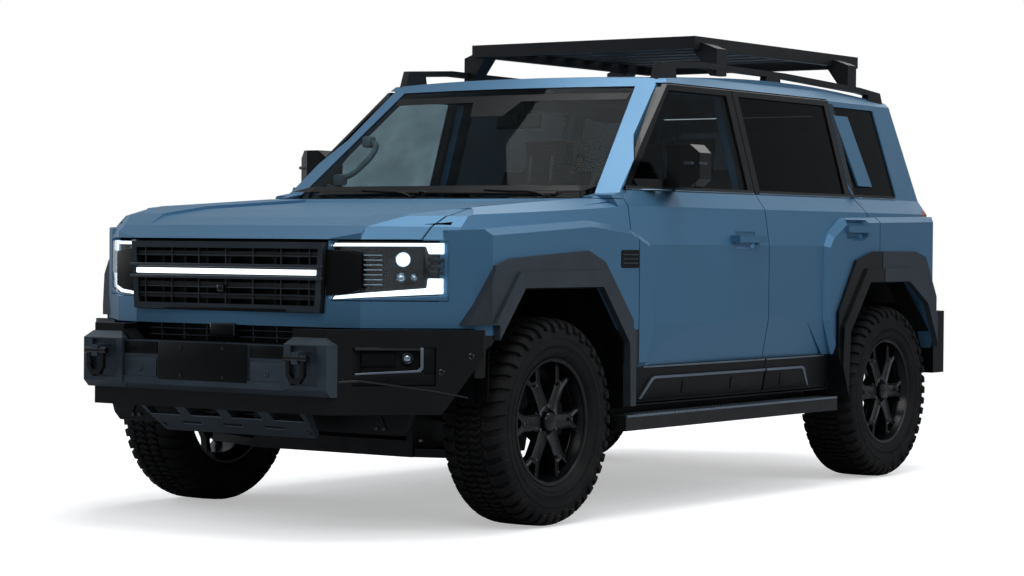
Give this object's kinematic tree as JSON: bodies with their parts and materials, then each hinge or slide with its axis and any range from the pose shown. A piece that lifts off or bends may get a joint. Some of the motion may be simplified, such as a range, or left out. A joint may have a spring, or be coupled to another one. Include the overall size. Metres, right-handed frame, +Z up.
{
  "type": "lifted off-road 4x4",
  "caption": "Lifted four-door off-road 4x4 with roof rack, side steps and side-hinged tailgate; wheels turn and steer, doors, bonnet and tailgate open.",
  "frame": {"origin": "on the ground below the middle of the vehicle's length and width", "axes": "+Z up, -Y towards the nose, +X towards the vehicle's left side"},
  "size_m": [2.09, 4.7543, 1.995],
  "materials": {
    "paint": "satin",
    "black_gloss": "gloss",
    "black_plastic": "matte",
    "charcoal": "satin",
    "black_metal": "satin",
    "glass": "gloss",
    "lamp": "gloss",
    "red_lamp": "gloss",
    "tyre": "matte",
    "cast": "rough",
    "cabin": "matte",
    "upholstery": "matte",
    "steel": "satin"
  },
  "bodies": {
    "body": {"chassis_frame": "black_metal", "floor_pan": "black_metal", "body_sides": "paint", "roof_panel": "paint", "windscreen": "glass", "quarter_glass": "glass", "front_panels": "paint", "grille": "black_plastic", "headlamps": "lamp", "front_bumper": "black_plastic", "bumper_guard": "charcoal", "shackles": "black_metal", "rear_bumper": "black_plastic", "tail_lamps": "red_lamp", "arch_flares": "charcoal", "arch_liners": "black_plastic", "side_steps": "charcoal", "roof_rails": "black_metal", "roof_rack": "black_metal", "cowl_panel": "black_plastic", "dashboard": "cabin", "seats": "upholstery", "engine_gearbox": "cast", "radiator": "black_metal", "exhaust": "steel", "fuel_tank": "black_plastic", "front_suspension": "black_metal", "rear_axle": "black_metal"},
    "knuckle_left": {"knuckle_left": "cast"},
    "knuckle_right": {"knuckle_right": "cast"},
    "steering_wheel": {"steering_wheel": "cabin"},
    "bonnet": {"bonnet": "paint"},
    "tailgate": {"tailgate": "paint", "tailgate_glass": "glass", "spare_tyre": "tyre", "spare_cover": "black_gloss"},
    "wheel_fl": {"rim_fl": "black_gloss", "tyre_fl": "tyre"},
    "side_door_fl": {"door_fl": "paint", "door_trim_fl": "black_gloss", "door_glass_fl": "glass"},
    "wheel_fr": {"rim_fr": "black_gloss", "tyre_fr": "tyre"},
    "side_door_fr": {"door_fr": "paint", "door_trim_fr": "black_gloss", "door_glass_fr": "glass"},
    "wheel_rl": {"rim_rl": "black_gloss", "tyre_rl": "tyre"},
    "side_door_rl": {"door_rl": "paint", "door_trim_rl": "black_gloss", "door_glass_rl": "glass"},
    "wheel_rr": {"rim_rr": "black_gloss", "tyre_rr": "tyre"},
    "side_door_rr": {"door_rr": "paint", "door_trim_rr": "black_gloss", "door_glass_rr": "glass"}
  },
  "joints": [
    {"name": "steer_left", "type": "hinge", "parent": "body", "child": "knuckle_left", "pos_m": [0.725, -1.355, 0.4], "axis": [0, 0, 1], "range_deg": [-30, 30]},
    {"name": "steer_right", "type": "hinge", "parent": "body", "child": "knuckle_right", "pos_m": [-0.725, -1.355, 0.4], "axis": [0, 0, 1], "range_deg": [-30, 30]},
    {"name": "steering_wheel_turn", "type": "hinge", "parent": "body", "child": "steering_wheel", "pos_m": [0.37, -0.27, 1.085], "axis": [0, 0.9272, 0.3746], "range_deg": [-450, 450]},
    {"name": "spin_fl", "type": "hinge", "parent": "knuckle_left", "child": "wheel_fl", "pos_m": [0.815, -1.355, 0.4], "axis": [1, 0, 0], "continuous": true},
    {"name": "spin_fr", "type": "hinge", "parent": "knuckle_right", "child": "wheel_fr", "pos_m": [-0.815, -1.355, 0.4], "axis": [1, 0, 0], "continuous": true},
    {"name": "spin_rl", "type": "hinge", "parent": "body", "child": "wheel_rl", "pos_m": [0.815, 1.445, 0.4], "axis": [1, 0, 0], "continuous": true},
    {"name": "spin_rr", "type": "hinge", "parent": "body", "child": "wheel_rr", "pos_m": [-0.815, 1.445, 0.4], "axis": [1, 0, 0], "continuous": true},
    {"name": "door_front_left", "type": "hinge", "parent": "body", "child": "side_door_fl", "pos_m": [0.962, -0.782, 1], "axis": [0, 0, -1], "range_deg": [0, 65]},
    {"name": "door_front_right", "type": "hinge", "parent": "body", "child": "side_door_fr", "pos_m": [-0.962, -0.782, 1], "axis": [0, 0, 1], "range_deg": [0, 65]},
    {"name": "door_rear_left", "type": "hinge", "parent": "body", "child": "side_door_rl", "pos_m": [0.962, 0.303, 1], "axis": [0, 0, -1], "range_deg": [0, 68]},
    {"name": "door_rear_right", "type": "hinge", "parent": "body", "child": "side_door_rr", "pos_m": [-0.962, 0.303, 1], "axis": [0, 0, 1], "range_deg": [0, 68]},
    {"name": "bonnet_hinge", "type": "hinge", "parent": "body", "child": "bonnet", "pos_m": [0, -0.963, 1.262], "axis": [-1, 0, 0], "range_deg": [0, 48]},
    {"name": "tailgate_hinge", "type": "hinge", "parent": "body", "child": "tailgate", "pos_m": [-0.709, 2.039, 1.2], "axis": [0, 0, 1], "range_deg": [0, 85]}
  ],
  "couplings": [
    {"joint": "steer_right", "follows": "steer_left", "ratio": 1},
    {"joint": "steering_wheel_turn", "follows": "steer_left", "ratio": 15}
  ]
}
